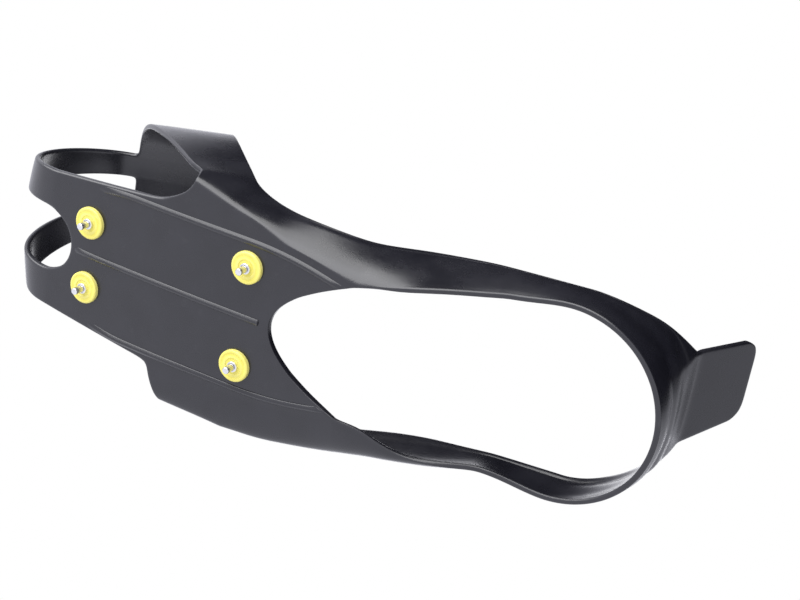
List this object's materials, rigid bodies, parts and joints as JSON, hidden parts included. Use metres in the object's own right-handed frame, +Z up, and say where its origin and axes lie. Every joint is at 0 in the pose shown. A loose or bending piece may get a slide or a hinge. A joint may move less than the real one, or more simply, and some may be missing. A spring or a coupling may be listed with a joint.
{
  "type": "slip-on ice cleat",
  "caption": "Elastic black rubber overshoe harness with toe strap, heel band and pull tab; steel studs on yellow discs under the forefoot plate grip ice.",
  "frame": {"origin": "on the sole plate's upper seat face, midway between the two rear studs", "axes": "+X towards the toe, +Y to the wearer's left, +Z up out of the seat face"},
  "size_m": [0.3355, 0.1206, 0.1271],
  "materials": {
    "rubber": "satin black moulded rubber",
    "stud_steel": "bright turned steel",
    "stud_disc": "smooth yellow plastic"
  },
  "bodies": {
    "forefoot": {"sole_plate": "rubber", "left_side_rail": "rubber", "right_side_rail": "rubber", "toe_strap": "rubber", "left_toe_arm": "rubber", "right_toe_arm": "rubber", "front_left_stud_pin": "stud_steel", "front_left_stud_disc": "stud_disc", "front_left_stud_collar": "stud_steel", "front_right_stud_pin": "stud_steel", "front_right_stud_disc": "stud_disc", "front_right_stud_collar": "stud_steel", "rear_left_stud_pin": "stud_steel", "rear_left_stud_disc": "stud_disc", "rear_left_stud_collar": "stud_steel", "rear_right_stud_pin": "stud_steel", "rear_right_stud_disc": "stud_disc", "rear_right_stud_collar": "stud_steel"},
    "heel": {"heel_band": "rubber"},
    "tab": {"pull_tab": "rubber"}
  },
  "joints": [
    {"name": "heel_stretch", "type": "slide", "parent": "forefoot", "child": "heel", "axis": [-1, 0, 0], "range_m": [0, 0.03], "stiffness_N_per_m": 1000, "deforming": ["left_side_rail", "right_side_rail"]},
    {"name": "tab_flex", "type": "hinge", "parent": "heel", "child": "tab", "pos_m": [-0.1807, 0, 0.0735], "axis": [0, -1, 0], "range_deg": [-20, 65], "stiffness_Nm_per_rad": 0.05}
  ]
}
